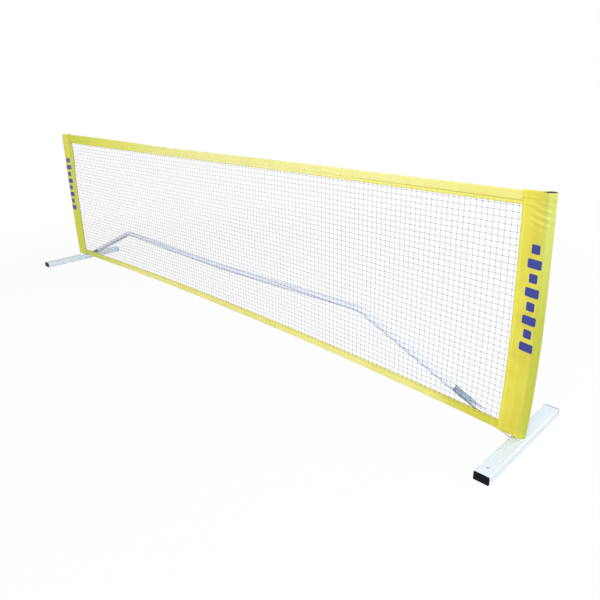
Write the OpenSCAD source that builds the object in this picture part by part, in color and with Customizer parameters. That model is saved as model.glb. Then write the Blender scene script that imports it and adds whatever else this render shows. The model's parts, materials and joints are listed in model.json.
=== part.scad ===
// Free-standing low sports net: two box-section feet, a push-fit tube frame
// between them, two upright poles, and a taped net whose side sleeves drop
// over the poles.
// X runs along the net, Y from the front of the net to its back, Z up.
// The origin is on the floor, midway between the two poles.

/* [Overall] */
// Distance between the two poles, centre to centre
pole_spacing = 2972; // [2400:2:3200]
// Height of the net's top edge above the floor
net_height = 785; // [700:1:900]
// Clearance all round between tubes that slide together
slip_gap = 0.3; // [0.2:0.05:0.5]

/* [Feet] */
// Length of a foot over its end plugs
foot_len = 485; // [380:1:600]
// Width of the foot's box section
foot_w = 48; // [42:1:60]
// Height of the foot's box section
foot_h = 27; // [26:0.5:34]
// Wall thickness of the foot's box section
foot_wall = 1.5; // [1:0.1:2.5]
// Outer corner radius of the foot's box section
foot_corner = 3; // [2:0.25:5]

/* [Foot plugs] */
// Thickness of a plug's end plate
plate_t = 4; // [3:0.5:6]
// Bevel round the outer face of the end plate
plate_bevel = 1; // [0.5:0.1:1.5]
// Length of the plug's shank inside the foot
shank_len = 52; // [48:1:70]
// Wall thickness of the plug's shank
shank_wall = 2.2; // [1.5:0.1:3]
// How far the grip ribs stand out of the shank
grip_rib = 0.8; // [0.4:0.1:1]
// Number of grip ribs round a shank
grip_ribs = 4; // [2:1:6]
// Thickness of a grip rib
rib_t = 1.6; // [1:0.2:2.4]
// Distance from the end plate to the first grip rib's middle
rib_start = 4; // [2:0.5:6]
// Distance from the last grip rib's middle to the shank's tip
rib_tip = 8; // [3:0.5:12]
// Thickness of the plug's floor behind its end plate
plug_floor = 2; // [1:0.5:4]

/* [Rivets] */
// Distance of a rivet from the front end of its foot
rivet_inset = 40; // [34:1:44]
// Diameter of a rivet's stem
rivet_d = 4; // [3:0.2:5]
// Diameter of a rivet's head
rivet_head_d = 7.6; // [6.5:0.2:10]
// Height of a rivet's head
rivet_head_h = 1.4; // [1:0.1:2]
// Diameter of a rivet's set bulb inside the plug
bulb_d = 5.6; // [5.4:0.1:7]
// Height of a rivet's set bulb
bulb_h = 2.5; // [1.5:0.1:4]

/* [Poles] */
// Outer diameter of a pole
pole_d = 30; // [26:0.5:34]
// Wall thickness of a pole
pole_wall = 1.5; // [1:0.1:2]
// How far a pole's cap stands above the net's top edge
pole_proud = 0.5; // [0.5:0.5:20]
// Height of the cap's head
cap_h = 3; // [2:0.5:5]
// Bevel round the cap's head
cap_edge = 1; // [0.5:0.1:1.5]
// Wall thickness of the cap's shank
cap_wall = 3; // [1.5:0.1:4]
// Length of the cap's shank inside the pole
cap_shank_len = 18; // [12:1:30]
// Length of the spigot on the foot that the pole stands over
pole_spigot_len = 100; // [60:1:160]

/* [Tube frame] */
// Outer diameter of the frame tube
tube_d = 25.4; // [22:0.2:28]
// Wall thickness of the frame tube
tube_wall = 1.3; // [1:0.1:1.8]
// Distance of each bend from the middle of the frame
bend_x = 842; // [600:1:950]
// Height of the tube's axis at the bends
bend_z = 279; // [220:1:340]
// Bend radius at the tube's axis
bend_r = 150; // [80:5:220]
// How far the push-fit joint lets the bar hang down in the middle
bar_sag = 18; // [6:0.5:20]
// Gap between the hanging net and the tube frame behind it
hang_gap = 0.5; // [0.4:0.1:2]
// Gap between the two tube ends at the bar's middle
bar_joint_gap = 0.2; // [0.1:0.1:1]
// Bare length of the arm spigot between the foot and the tube
spigot_bare = 230; // [120:1:280]
// Length of the arm spigot inside the tube
spigot_in = 120; // [60:1:160]
// How far the arm spigot meets the foot above the middle of its side
spigot_rise = 1; // [0.6:0.1:1.5]
// Wall thickness of the spigots and the ferrule
spigot_wall = 1.5; // [1.2:0.1:2]
// Thickness of the weld bead round the arm spigot
weld_r = 1.6; // [1:0.1:1.8]
// Length of the ferrule inside the bar's middle joint
ferrule_len = 120; // [80:2:160]

/* [Net] */
// Thickness of one layer of tape or sleeve fabric
cloth_t = 0.5; // [0.3:0.1:0.7]
// Thickness of the netting
mesh_t = 1.2; // [0.8:0.1:1.6]
// Clearance between the netting and each layer of a folded tape
mesh_play = 0.2; // [0.1:0.05:0.4]
// How far the net's plane stands in front of the line of the poles
net_front = 8; // [7.8:0.1:9]
// Width of a netting strand
strand_w = 2; // [1:0.25:3]
// Number of gaps along the netting
gaps_x = 35; // [20:1:36]
// Number of gaps up the netting
gaps_z = 8; // [5:1:8]
// Depth of netting caught inside each tape and sleeve
caught = 10; // [6:1:14]
// Depth left free in the fold behind the caught netting
slot_play = 3; // [1:0.5:6]

/* [Tapes and sleeves] */
// Height of the top tape
top_tape_h = 39; // [30:1:60]
// Height of the bottom tape
bottom_tape_h = 28; // [22:1:40]
// Height of the bottom tape's lower edge above the floor at its ends
bottom_tape_z = 42; // [36:1:60]
// How much higher the bottom tape is in its middle
bottom_rise = 30; // [10:1:50]
// Width of a sleeve across its face
sleeve_w = 85; // [76:1:110]
// Height of a sleeve's lower edge above the foot
sleeve_gap = 3; // [2:1:12]
// Thickness of the sleeve's pocket wall
pocket_wall = 0.7; // [0.5:0.1:1]
// Distance of the pocket's closing seam from the pole's axis
seam_x = 36; // [32:1:40]

/* [Hidden] */
$fn = 64;

LEFT = -1;
RIGHT = 1;
FRONT = -1;
REAR = 1;
cut = 1;                                    // how far a cutting tool runs past a face

// Colours
paint = [0.88, 0.93, 0.98];
zinc = [0.55, 0.62, 0.70];
black_plastic = [0.13, 0.11, 0.14];
rivet_grey = [0.72, 0.74, 0.76];
twine = [0.12, 0.12, 0.20];
tape_yellow = [0.95, 0.93, 0.52];
sleeve_yellow = [0.87, 0.85, 0.35];

// Feet and plugs
pole_x = pole_spacing / 2;
foot_inner_x = pole_x - foot_w / 2;
foot_tube_len = foot_len - 2 * plate_t;
least_corner = 0.2;
bore_corner = max(foot_corner - foot_wall, least_corner);
plug_fit = 0.15;                            // play round the plug's grip ribs
rib_corner = max(bore_corner - plug_fit, least_corner);
shank_corner = max(rib_corner - grip_rib, least_corner);
plug_bore_corner = max(shank_corner - shank_wall, least_corner);
shank_w = foot_w - 2 * foot_wall - 2 * plug_fit - 2 * grip_rib;
shank_h = foot_h - 2 * foot_wall - 2 * plug_fit - 2 * grip_rib;
rib_pitch = (shank_len - rib_start - rib_tip) / (grip_ribs - 1);
rivet_y = FRONT * (foot_len / 2 - rivet_inset);
rivet_play = 0.1;
rivet_stem_len = foot_wall + plug_fit + grip_rib + shank_wall + bulb_h;

// Poles
pole_bore_d = pole_d - 2 * pole_wall;
pole_top_z = net_height + pole_proud - cap_h;
pole_spigot_d = pole_bore_d - 2 * slip_gap;
cap_play = 0.1;

// Tube frame
tube_bore_d = tube_d - 2 * tube_wall;
spigot_d = tube_bore_d - 2 * slip_gap;
spigot_z = foot_h / 2 + spigot_rise;
arm_tilt = atan((bend_z - spigot_z) / (foot_inner_x - bend_x));
bar_tilt = atan(bar_sag / bend_x);
arm_run = (foot_inner_x - bend_x) / cos(arm_tilt);
bar_run = bend_x / cos(bar_tilt);
bend_turn = arm_tilt + bar_tilt;
bend_tangent = bend_r * tan(bend_turn / 2);
bar_end_gap = tube_d / 2 * tan(bar_tilt) + bar_joint_gap / 2;
bend_share = 0.6;                           // share of the bend on each straight length
ferrule_play = 0.05;
ferrule_d = tube_bore_d - 2 * (ferrule_len / 2 * sin(bar_tilt) + ferrule_play);

// Net, tapes and sleeves
fold_gap = mesh_t + 2 * mesh_play;
tape_t = 2 * cloth_t + fold_gap;
slot_depth = caught + slot_play;
frame_y = tube_d / 2 + hang_gap + tape_t / 2 - net_front;
net_half = pole_x + pole_d / 2 + slip_gap + pocket_wall - sleeve_w;
top_tape_z = net_height - top_tape_h;
sleeve_z = foot_h + sleeve_gap;
sleeve_len = net_height - sleeve_z;
pocket_in_r = pole_d / 2 + slip_gap;
pocket_out_r = pocket_in_r + pocket_wall;
band_end_x = pole_x - net_half;
crease_back = 2;                            // the pocket's crease stops this far short of its seam
crease_gap = 0.01;                          // the crease is all but closed
curve_steps = 28;

// Height of the bottom tape's lower edge at x
function tape_low(x) = bottom_tape_z + bottom_rise * (1 - pow(x / net_half, 2));

// Height of the bottom tape's upper edge at x
function tape_high(x) = tape_low(x) + bottom_tape_h;

// Height of the netting's row j at x, rows counted from the bottom tape
function row_z(x, j) = tape_high(x) + (top_tape_z - tape_high(x)) * j / gaps_z;

// X of the netting's column i, from left to right
function column_x(i) = -net_half + 2 * net_half * i / gaps_x;

// Evenly spaced places along the net, a little past its ends by the amount given
function stations(past) = [
    for (i = [0 : curve_steps]) (net_half + past) * (2 * i / curve_steps - 1)
];

// Touching point of the tangent from p to a circle at the origin, turn = 1 or -1
function tangent_point(p, r, turn) =
    let (angle = atan2(p.y, p.x) + turn * acos(r / norm(p)))
    [r * cos(angle), r * sin(angle)];

// ---------- shared shapes ----------

module rounded_rect(w, h, r) {
    square([w - 2 * r, h], center = true);
    square([w, h - 2 * r], center = true);
    for (sx = [-1, 1], sy = [-1, 1])
        translate([sx * (w / 2 - r), sy * (h / 2 - r)])
            circle(r = r);
}

// Extrudes a section along Y, its centre at the foot's mid-height
module along_foot(length) {
    translate([0, length / 2, foot_h / 2])
        rotate([90, 0, 0])
            linear_extrude(height = length)
                children();
}

module pipe(outer_d, bore_d, length) {
    difference() {
        cylinder(d = outer_d, h = length);
        translate([0, 0, -cut])
            cylinder(d = bore_d, h = length + 2 * cut);
    }
}

// Strip between two curves of the net's plane, as thick as t
module net_strip(t, past, low, high) {
    translate([0, -net_front + t / 2, 0])
        rotate([90, 0, 0])
            linear_extrude(height = t)
                polygon(concat(low, [for (i = [len(high) - 1 : -1 : 0]) high[i]]));
}

// ---------- feet ----------

module foot(side) {
    color(paint)
        translate([side * pole_x, 0, 0])
            difference() {
                along_foot(foot_tube_len)
                    rounded_rect(foot_w, foot_h, foot_corner);
                along_foot(foot_tube_len + 2 * cut)
                    rounded_rect(foot_w - 2 * foot_wall, foot_h - 2 * foot_wall, bore_corner);
                translate([0, rivet_y, foot_h - foot_wall - cut])
                    cylinder(d = rivet_d + 2 * rivet_play, h = foot_wall + 2 * cut);
            }
}

// End plate with a bevel all round its outer face, lying on Y = 0 towards +Y
module end_plate() {
    intersection() {
        translate([0, plate_t / 2, 0])
            along_foot(plate_t)
                rounded_rect(foot_w, foot_h, foot_corner);
        linear_extrude(height = foot_h)
            bevelled_profile(foot_w / 2);
        translate([-foot_w / 2, 0, foot_h / 2])
            rotate([0, 90, 0])
                linear_extrude(height = foot_w)
                    bevelled_profile(foot_h / 2);
    }
}

module bevelled_profile(half) {
    polygon([
        [-half, 0], [half, 0], [half, plate_t - plate_bevel],
        [half - plate_bevel, plate_t], [-half + plate_bevel, plate_t],
        [-half, plate_t - plate_bevel]
    ]);
}

module plug_shank() {
    difference() {
        union() {
            translate([0, -shank_len / 2, 0])
                along_foot(shank_len)
                    rounded_rect(shank_w, shank_h, shank_corner);
            for (i = [0 : grip_ribs - 1])
                translate([0, -rib_start - i * rib_pitch, 0])
                    along_foot(rib_t)
                        rounded_rect(shank_w + 2 * grip_rib, shank_h + 2 * grip_rib, rib_corner);
        }
        translate([0, -shank_len / 2 - plug_floor, 0])
            along_foot(shank_len)
                rounded_rect(
                    shank_w - 2 * shank_wall, shank_h - 2 * shank_wall, plug_bore_corner
                );
    }
}

module foot_plug(side, end) {
    color(black_plastic)
        translate([side * pole_x, 0, 0])
            difference() {
                mirror([0, end == FRONT ? 1 : 0, 0])
                    translate([0, foot_tube_len / 2, 0]) {
                        end_plate();
                        plug_shank();
                    }
                if (end == FRONT)
                    translate([0, rivet_y, foot_h / 2])
                        cylinder(d = rivet_d + 2 * rivet_play, h = foot_h);
            }
}

// Pop rivet: domed head on the foot, stem through the plug, set bulb inside
module rivet(side) {
    dome_r = (pow(rivet_head_d / 2, 2) + pow(rivet_head_h, 2)) / (2 * rivet_head_h);
    translate([side * pole_x, rivet_y, foot_h]) {
        intersection() {
            translate([0, 0, rivet_head_h - dome_r])
                sphere(r = dome_r);
            cylinder(d = rivet_head_d, h = rivet_head_h + cut);
        }
        translate([0, 0, -rivet_stem_len])
            cylinder(d = rivet_d, h = rivet_stem_len);
        translate([0, 0, -rivet_stem_len])
            cylinder(d = bulb_d, h = bulb_h);
    }
}

module plug_rivets() {
    color(rivet_grey)
        for (side = [LEFT, RIGHT])
            rivet(side);
}

// ---------- tube frame ----------

module pole_spigot(side) {
    color(zinc)
        translate([side * pole_x, 0, foot_h])
            pipe(pole_spigot_d, pole_spigot_d - 2 * spigot_wall, pole_spigot_len);
}

// Places its children at the arm's foot end, +Z running up the right arm's axis
module at_arm_root() {
    translate([foot_inner_x, frame_y, spigot_z])
        rotate([0, -90 + arm_tilt, 0])
            children();
}

// Spigot with a weld bead, cut flush with the foot's inner wall
module arm_spigot(side) {
    back = tube_d;
    color(zinc)
        mirror([side == LEFT ? 1 : 0, 0, 0])
            intersection() {
                union() {
                    at_arm_root()
                        difference() {
                            translate([0, 0, -back])
                                cylinder(d = spigot_d, h = back + spigot_bare + spigot_in);
                            translate([0, 0, -back - cut])
                                cylinder(
                                    d = spigot_d - 2 * spigot_wall,
                                    h = back + spigot_bare + spigot_in + 2 * cut
                                );
                        }
                    weld_bead();
                }
                translate([foot_inner_x - pole_x, -pole_d, 0])
                    cube([pole_x, 3 * pole_d, net_height]);
            }
}

module weld_bead() {
    bead_r = spigot_d / 2;
    translate([foot_inner_x, frame_y, spigot_z])
        rotate([0, 90, 0])
            rotate_extrude()
                translate([bead_r, 0])
                    circle(r = weld_r, $fn = 24);
}

// Solid of one bent tube: arm, bend and half of the bar, for the right side.
// Each straight length carries its end of the bend, and the two ends overlap.
module bent_rod(d, past) {
    arc_start = [bend_x, bend_z] + bend_tangent * [cos(arm_tilt), -sin(arm_tilt)];
    arc_centre = arc_start - bend_r * [sin(arm_tilt), cos(arm_tilt)];
    translate([arc_centre.x, frame_y, arc_centre.y])
        rotate([90, 0, 0])
            rotate([0, 0, 90 - arm_tilt]) {
                rod_end(d, arm_run - bend_tangent - spigot_bare + past, 1);
                rotate([0, 0, bend_turn])
                    rod_end(d, bar_run - bend_tangent - bar_end_gap + past, -1);
            }
}

// Straight length and more than half of the bend, turned about Z
module rod_end(d, length, turn) {
    translate([bend_r, 0, 0])
        rotate([turn * 90, 0, 0])
            cylinder(d = d, h = length);
    rotate_extrude(angle = turn * bend_turn * bend_share)
        translate([bend_r, 0])
            circle(d = d);
}

module frame_tube(side) {
    color(paint)
        mirror([side == LEFT ? 1 : 0, 0, 0])
            difference() {
                bent_rod(tube_d, 0);
                bent_rod(tube_bore_d, cut);
            }
}

module bar_ferrule() {
    color(zinc)
        translate([-ferrule_len / 2, frame_y, bend_z - bar_sag])
            rotate([0, 90, 0])
                pipe(ferrule_d, ferrule_d - 2 * spigot_wall, ferrule_len);
}

// ---------- poles ----------

module pole(side) {
    color(paint)
        translate([side * pole_x, 0, foot_h])
            pipe(pole_d, pole_bore_d, pole_top_z - foot_h);
}

module pole_cap(side) {
    edge = min(cap_edge, cap_h / 2);
    plug_d = pole_bore_d - 2 * cap_play;
    color(black_plastic)
        translate([side * pole_x, 0, pole_top_z]) {
            rotate_extrude()
                polygon([
                    [0, 0], [pole_d / 2, 0], [pole_d / 2, cap_h - edge],
                    [pole_d / 2 - edge, cap_h], [0, cap_h]
                ]);
            translate([0, 0, -cap_shank_len])
                pipe(plug_d, plug_d - 2 * cap_wall, cap_shank_len);
        }
}

// ---------- net ----------

// Flat netting: a sheet with one four-sided hole for each gap
module net_mesh() {
    s = strand_w / 2;
    places = stations(caught);
    color(twine)
        difference() {
            net_strip(
                mesh_t, caught,
                [for (x = places) [x, tape_high(x) - caught]],
                [for (x = places) [x, top_tape_z + caught]]
            );
            translate([0, -net_front + mesh_t, 0])
                rotate([90, 0, 0])
                    linear_extrude(height = 2 * mesh_t)
                        for (i = [0 : gaps_x - 1], j = [0 : gaps_z - 1])
                            let (a = column_x(i), b = column_x(i + 1))
                                polygon([
                                    [a + s, row_z(a, j) + s], [b - s, row_z(b, j) + s],
                                    [b - s, row_z(b, j + 1) - s], [a + s, row_z(a, j + 1) - s]
                                ]);
        }
}

// Tape folded over the netting's top edge
module top_tape() {
    color(tape_yellow)
        translate([-net_half, -net_front, 0])
            rotate([90, 0, 90])
                linear_extrude(height = 2 * net_half)
                    difference() {
                        union() {
                            translate([-tape_t / 2, top_tape_z])
                                square([tape_t, top_tape_h - tape_t / 2]);
                            translate([0, net_height - tape_t / 2])
                                circle(d = tape_t);
                        }
                        translate([-fold_gap / 2, top_tape_z - cut])
                            square([fold_gap, slot_depth + cut]);
                    }
}

// Tape folded under the netting's lower edge, drawn up in the middle
module bottom_tape() {
    places = stations(0);
    past = stations(cut);
    color(tape_yellow)
        difference() {
            net_strip(
                tape_t, 0,
                [for (x = places) [x, tape_low(x)]],
                [for (x = places) [x, tape_high(x)]]
            );
            net_strip(
                fold_gap, cut,
                [for (x = past) [x, tape_high(x) - slot_depth]],
                [for (x = past) [x, tape_high(x) + cut]]
            );
        }
}

// Outline of the pocket at radius r, drawn in to a crease at the points given
module pocket_outline(r, back_point, front_point) {
    circle(r = r);
    polygon([
        [0, 0], tangent_point(back_point, r, -1), back_point,
        front_point, tangent_point(front_point, r, 1)
    ]);
}

// Section of the right sleeve: pocket round the pole and flat band to the netting
module sleeve_section() {
    half_t = tape_t / 2;
    crease = [-seam_x + crease_back, -net_front];
    difference() {
        union() {
            pocket_outline(
                pocket_out_r, [-seam_x, -net_front + half_t], [-seam_x, -net_front - half_t]
            );
            translate([-band_end_x, -net_front - half_t])
                square([band_end_x - seam_x, tape_t]);
        }
        pocket_outline(pocket_in_r, crease, crease - [0, crease_gap]);
        translate([-band_end_x - cut, -net_front - fold_gap / 2])
            square([slot_depth + cut, fold_gap]);
    }
}

module sleeve(side) {
    color(sleeve_yellow)
        mirror([side == LEFT ? 1 : 0, 0, 0])
            translate([pole_x, 0, sleeve_z])
                linear_extrude(height = sleeve_len)
                    sleeve_section();
}

foot(LEFT);  // foot_left
foot(RIGHT);  // foot_right
foot_plug(LEFT, FRONT);  // foot_plug_front_left
foot_plug(LEFT, REAR);  // foot_plug_rear_left
foot_plug(RIGHT, FRONT);  // foot_plug_front_right
foot_plug(RIGHT, REAR);  // foot_plug_rear_right
plug_rivets();
pole_spigot(LEFT);  // pole_spigot_left
pole_spigot(RIGHT);  // pole_spigot_right
arm_spigot(LEFT);  // arm_spigot_left
arm_spigot(RIGHT);  // arm_spigot_right
frame_tube(LEFT);  // frame_tube_left
frame_tube(RIGHT);  // frame_tube_right
bar_ferrule();
pole(LEFT);  // pole_left
pole(RIGHT);  // pole_right
pole_cap(LEFT);  // pole_cap_left
pole_cap(RIGHT);  // pole_cap_right
net_mesh();
top_tape();
bottom_tape();
sleeve(LEFT);  // sleeve_left
sleeve(RIGHT);  // sleeve_right
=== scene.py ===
"""Looks of a low free-standing sports net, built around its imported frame.

Sizes are in metres. X runs along the net, Y from its front to its back, Z up.
"""

import json
import logging
import math
from collections.abc import Callable, Iterable
from dataclasses import dataclass, field
from enum import Enum

import bmesh
import bpy
import numpy as np
from mathutils import Matrix, Vector


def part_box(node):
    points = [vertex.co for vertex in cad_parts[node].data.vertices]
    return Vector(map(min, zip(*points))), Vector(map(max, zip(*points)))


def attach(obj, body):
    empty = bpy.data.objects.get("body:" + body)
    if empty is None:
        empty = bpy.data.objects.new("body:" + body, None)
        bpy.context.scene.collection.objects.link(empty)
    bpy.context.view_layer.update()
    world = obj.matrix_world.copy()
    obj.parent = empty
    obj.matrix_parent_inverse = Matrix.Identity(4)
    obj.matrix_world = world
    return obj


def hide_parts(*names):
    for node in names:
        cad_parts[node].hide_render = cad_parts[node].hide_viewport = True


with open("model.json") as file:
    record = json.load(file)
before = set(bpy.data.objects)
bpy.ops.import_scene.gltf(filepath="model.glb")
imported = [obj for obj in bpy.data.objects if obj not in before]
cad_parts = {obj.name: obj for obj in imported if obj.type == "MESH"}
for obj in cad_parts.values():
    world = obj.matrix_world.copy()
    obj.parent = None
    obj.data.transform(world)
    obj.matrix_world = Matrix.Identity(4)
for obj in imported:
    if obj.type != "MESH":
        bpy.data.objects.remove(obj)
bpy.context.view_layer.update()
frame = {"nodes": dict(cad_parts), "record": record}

logging.basicConfig(level=logging.INFO, format="%(name)s: %(message)s")
log = logging.getLogger("net")

MM = 0.001
Colour = tuple[float, float, float, float]
Surface = Callable[[np.ndarray, np.ndarray], np.ndarray]

# Names of the layers that pieces carry for their materials.
FLAT_MAP = "Flat"
KNOT_SHARE = "knot_share"
CORD_PLACE = "cord_place"

# How far a band along a cloth's edge runs past it, so that it is at its full strength there.
BEYOND = 10 * MM


class Side(Enum):
    """The two ends of the net."""

    LEFT = -1
    RIGHT = 1

    @property
    def word(self) -> str:
        """The side's name in node and piece names."""
        return self.name.lower()


class Slot(Enum):
    """The record's material slots."""

    FOOT = "frame_paint"
    TUBE = "tube_paint"
    STEEL = "bare_steel"
    PLASTIC = "black_plastic"
    RIVET = "rivet_metal"
    TWINE = "net_twine"
    TAPE = "tape_fabric"
    SLEEVE = "sleeve_fabric"


def srgb(red: int, green: int, blue: int) -> Colour:
    """Gives the linear colour of an 8-bit one.

    Args:
        red: Red, 0 to 255.
        green: Green, 0 to 255.
        blue: Blue, 0 to 255.

    Returns:
        The linear colour, with an alpha of 1.
    """
    parts = [c / 255 for c in (red, green, blue)]
    linear = [c / 12.92 if c <= 0.04045 else ((c + 0.055) / 1.055) ** 2.4 for c in parts]
    return (*linear, 1.0)


# ---------------------------------------------------------------- materials


class NodeTree:
    """A material's nodes, with a short call for each kind used here."""

    def __init__(self, name: str) -> None:
        """Starts an empty material.

        Args:
            name: The material's name.
        """
        self.material = bpy.data.materials.new(name)
        self.material.use_nodes = True
        self.tree = self.material.node_tree
        self.tree.nodes.clear()
        self.output = self.tree.nodes.new("ShaderNodeOutputMaterial")

    def add(self, kind: str, settings: dict | None = None, **inputs: object) -> bpy.types.Node:
        """Adds a node.

        Args:
            kind: The node's type, without "ShaderNode".
            settings: Attributes of the node.
            **inputs: A value or a socket for each input, spaces in names as underscores.

        Returns:
            The new node.
        """
        node = self.tree.nodes.new("ShaderNode" + kind)
        for key, value in (settings or {}).items():
            setattr(node, key, value)
        for key, value in inputs.items():
            self.feed(node.inputs[key.replace("_", " ")], value)
        return node

    def feed(self, socket: bpy.types.NodeSocket, value: object) -> None:
        """Links a socket or sets a value.

        Args:
            socket: The input.
            value: An output socket to link, or a constant.
        """
        if isinstance(value, bpy.types.NodeSocket):
            self.tree.links.new(value, socket)
        else:
            socket.default_value = value

    def math(self, operation: str, *values: object) -> bpy.types.NodeSocket:
        """Adds a Math node.

        Args:
            operation: The node's operation.
            *values: Its inputs, in order.

        Returns:
            Its result.
        """
        node = self.add("Math", {"operation": operation})
        for socket, value in zip(node.inputs, values):
            self.feed(socket, value)
        return node.outputs[0]

    def times(self, value: object, factor: object) -> bpy.types.NodeSocket:
        """Gives a value times a factor."""
        return self.math("MULTIPLY", value, factor)

    def varied(self, base: float, value: object, span: float) -> bpy.types.NodeSocket:
        """Gives a base, raised by up to a span as a value goes from 0 to 1."""
        return self.math("ADD", base, self.times(value, span))

    def span(self, value: object, low: float, high: float, soft: float) -> bpy.types.NodeSocket:
        """Gives 1 where a value lies between two limits and 0 outside them.

        Args:
            value: The value's socket.
            low: The lower limit.
            high: The upper limit.
            soft: Width of the change at each limit.

        Returns:
            The mask.
        """
        up = self.ease(value, low - soft / 2, low + soft / 2)
        down = self.ease(value, high + soft / 2, high - soft / 2)
        return self.times(up, down)

    def ease(self, value: object, start: float, end: float) -> bpy.types.NodeSocket:
        """Gives a smooth step from 0 to 1 between two values.

        Args:
            value: The value's socket.
            start: Where the step is 0.
            end: Where the step is 1.

        Returns:
            The step.
        """
        node = self.add(
            "MapRange",
            {"interpolation_type": "SMOOTHSTEP"},
            Value=value,
            From_Min=start,
            From_Max=end,
        )
        return node.outputs[0]

    def object_place(self, scale: tuple[float, float, float] = (1, 1, 1)) -> bpy.types.NodeSocket:
        """Gives the place on the object, stretched by a scale along each axis."""
        where = self.add("TexCoord").outputs["Object"]
        return self.add("Mapping", Vector=where, Scale=scale).outputs[0]

    def flat_place(self) -> bpy.types.NodeSocket:
        """Gives the place on the flat cloth, in metres."""
        return self.add("UVMap", {"uv_map": FLAT_MAP}).outputs[0]

    def axes(self, vector: bpy.types.NodeSocket) -> tuple:
        """Splits a vector into its three numbers."""
        return tuple(self.add("SeparateXYZ", Vector=vector).outputs)

    def noise(self, place: object, scale: float, detail: float) -> bpy.types.NodeSocket:
        """Gives a noise around 0.5, with a scale in waves a metre and a number of octaves."""
        return self.add("TexNoise", Vector=place, Scale=scale, Detail=detail).outputs[0]

    def mix(self, share: object, one: object, other: object) -> bpy.types.NodeSocket:
        """Mixes two colours.

        Args:
            share: Share of the second colour.
            one: First colour.
            other: Second colour.

        Returns:
            The mixed colour.
        """
        node = self.add("Mix", {"data_type": "RGBA"})
        # A Mix node has sockets for each type of data. These are its factor and its colours.
        for number, value in zip((0, 6, 7), (share, one, other)):
            self.feed(node.inputs[number], value)
        return node.outputs[2]

    def bump(self, height: object, depth: float, normal: object = None) -> bpy.types.NodeSocket:
        """Adds a bump.

        Args:
            height: Its height, 0 to 1.
            depth: The depth of a height of 1, in metres.
            normal: An earlier bump, which it adds to.

        Returns:
            The bumped normal.
        """
        node = self.add("Bump", Height=height, Distance=depth, Strength=1.0)
        if normal is not None:
            self.feed(node.inputs["Normal"], normal)
        return node.outputs[0]

    def finish(self, **inputs: object) -> bpy.types.Material:
        """Ends the tree in a Principled shader.

        Args:
            **inputs: The shader's inputs, spaces in names as underscores.

        Returns:
            The material.
        """
        shader = self.add("BsdfPrincipled", **inputs)
        self.feed(self.output.inputs["Surface"], shader.outputs[0])
        return self.material


@dataclass(frozen=True)
class PowderCoat:
    """Baked powder paint with fine orange peel, faint clouding and rubbed spots, plainest near the floor."""

    name: str
    colour: Colour
    rubbed: Colour
    roughness: float = 0.32
    roughness_span: float = 0.12
    cloud_share: float = 0.35
    scuff_share: float = 0.25
    floor_scuff_share: float = 0.6
    floor_heights: tuple[float, float] = (12 * MM, 1 * MM)
    peel: float = 700.0
    peel_depth: float = 0.06 * MM
    coat: float = 0.25
    coat_roughness: float = 0.22

    def material(self) -> bpy.types.Material:
        """Builds the paint.

        Returns:
            The material.
        """
        t = NodeTree(self.name)
        place = t.object_place()
        cloud = t.noise(place, scale=9.0, detail=4.0)
        scuff = t.ease(t.noise(t.object_place((1, 1, 3)), scale=60.0, detail=6.0), start=0.66, end=0.74)
        low = t.ease(t.axes(place)[2], *self.floor_heights)
        tint = t.mix(t.times(cloud, self.cloud_share), self.colour, self.rubbed)
        worn = t.times(scuff, t.varied(self.scuff_share, low, self.floor_scuff_share))
        return t.finish(
            Base_Color=t.mix(worn, tint, self.rubbed),
            Roughness=t.varied(self.roughness, cloud, self.roughness_span),
            Normal=t.bump(t.noise(place, self.peel, detail=1.0), self.peel_depth),
            Coat_Weight=self.coat,
            Coat_Roughness=self.coat_roughness,
        )


@dataclass(frozen=True)
class DrawnSteel:
    """Zinc-plated tube with faint lines along it and a cloudy plating, and painted light near the floor,
    clear of the net's shadow.
    """

    name: str = "bare_steel_dressed"
    light: Colour = srgb(146, 164, 178)
    dark: Colour = srgb(88, 108, 124)
    # The tone of the painted light near the floor, how strongly it shows, and the heights over which it comes
    # in.
    painted_light: Colour = srgb(236, 238, 242)
    painted_light_share: float = 0.8
    painted_light_heights: tuple[float, float] = (95 * MM, 55 * MM)
    line_share: float = 0.35
    line_depth: float = 0.02 * MM
    metal: float = 0.6
    roughness: float = 0.28
    roughness_span: float = 0.2

    def material(self) -> bpy.types.Material:
        """Builds the steel.

        Returns:
            The material.
        """
        t = NodeTree(self.name)
        # Painted light: the steel pales towards the floor, where it is lit clear of the net's shadow.
        low = t.ease(t.axes(t.object_place())[2], *self.painted_light_heights)
        lines = t.noise(t.object_place((60, 900, 400)), scale=1.0, detail=3.0)
        cloud = t.noise(t.object_place(), scale=24.0, detail=3.0)
        share = t.math("ADD", t.times(lines, self.line_share), t.times(cloud, 1 - self.line_share))
        plating = t.mix(t.ease(share, start=0.3, end=0.7), self.dark, self.light)
        return t.finish(
            Base_Color=t.mix(t.times(low, self.painted_light_share), plating, self.painted_light),
            Metallic=self.metal,
            Roughness=t.varied(self.roughness, cloud, self.roughness_span),
            Normal=t.bump(lines, self.line_depth),
        )


@dataclass(frozen=True)
class MouldedPlastic:
    """Fine-grained moulded plastic with a few dull, dusty patches."""

    name: str = "black_plastic_dressed"
    colour: Colour = srgb(9, 8, 11)
    dusty: Colour = srgb(20, 18, 23)
    roughness: float = 0.5
    roughness_span: float = 0.25
    specular: float = 0.1
    grain: float = 2600.0
    grain_depth: float = 0.05 * MM

    def material(self) -> bpy.types.Material:
        """Builds the plastic.

        Returns:
            The material.
        """
        t = NodeTree(self.name)
        place = t.object_place()
        dust = t.ease(t.noise(place, scale=55.0, detail=6.0), start=0.5, end=0.8)
        return t.finish(
            Base_Color=t.mix(dust, self.colour, self.dusty),
            Roughness=t.varied(self.roughness, dust, self.roughness_span),
            Specular_IOR_Level=self.specular,
            Normal=t.bump(t.noise(place, self.grain, detail=1.0), self.grain_depth),
        )


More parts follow.
